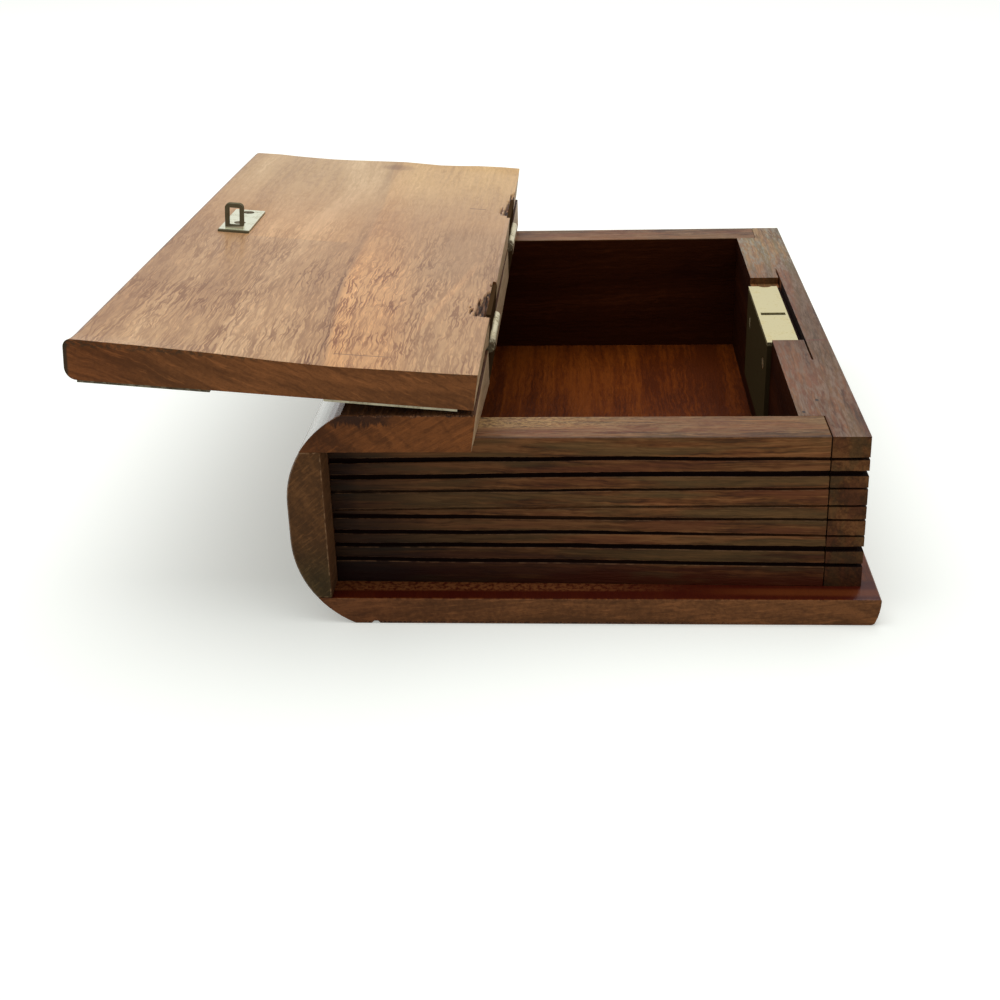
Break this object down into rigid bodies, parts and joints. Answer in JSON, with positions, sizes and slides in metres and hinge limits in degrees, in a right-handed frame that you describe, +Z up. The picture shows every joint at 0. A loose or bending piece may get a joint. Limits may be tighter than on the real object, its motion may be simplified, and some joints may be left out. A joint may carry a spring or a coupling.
{
  "type": "book box",
  "caption": "Wooden keepsake box shaped like a closed book, with a rounded spine, saw-cut page lines, a hinged cover as its lid and a small brass lock at the fore edge.",
  "frame": {"origin": "middle of the base board's underside, the face that the box stands on", "axes": "+X from the spine to the fore edge, +Y from the head (front) to the tail (rear), +Z up"},
  "size_m": [0.1788, 0.1986, 0.0749],
  "materials": {
    "cover_wood": "waxed, satin",
    "spine_wood": "waxed, satin",
    "page_wood": "waxed, satin",
    "lid_wood": "sanded, thin wax",
    "lock_brass": "bright, hand filed",
    "staple_brass": "toned, worn bright",
    "hinge_brass": "dull, drawn",
    "corner_brass": "thin sheet, polished",
    "spring_steel": "blued"
  },
  "bodies": {
    "case": {"base_board": "cover_wood", "front_wall": "page_wood", "rear_wall": "page_wood", "fore_edge_wall": "page_wood", "spine_board": "spine_wood", "hinge_strip": "cover_wood", "front_hinge_strip_leaf": "hinge_brass", "front_hinge_pin": "hinge_brass", "rear_hinge_strip_leaf": "hinge_brass", "rear_hinge_pin": "hinge_brass", "strip_leaf_screws": "hinge_brass", "lock_plate": "lock_brass", "lock_case": "lock_brass", "bolt_guide": "lock_brass", "bolt_spring": "spring_steel", "key_post": "lock_brass", "lock_screws": "lock_brass"},
    "lid": {"lid_board": "lid_wood", "front_hinge_lid_leaf": "hinge_brass", "rear_hinge_lid_leaf": "hinge_brass", "lid_leaf_screws": "hinge_brass", "staple_plate": "staple_brass", "staple_loop": "staple_brass", "staple_screws": "staple_brass", "corner_plate_head_fore": "corner_brass", "corner_plate_head_hinge": "corner_brass", "corner_plate_tail_fore": "corner_brass", "corner_plate_tail_hinge": "corner_brass", "corner_pins": "corner_brass"},
    "bolt": {"lock_bolt": "lock_brass"}
  },
  "joints": [
    {"name": "lid_hinge", "type": "hinge", "parent": "case", "child": "lid", "pos_m": [-0.0232, 0, 0.0519], "axis": [0, 1, 0], "range_deg": [0, 175]},
    {"name": "bolt_slide", "type": "slide", "parent": "case", "child": "bolt", "axis": [0, 1, 0], "range_m": [0, 0.0045]}
  ]
}
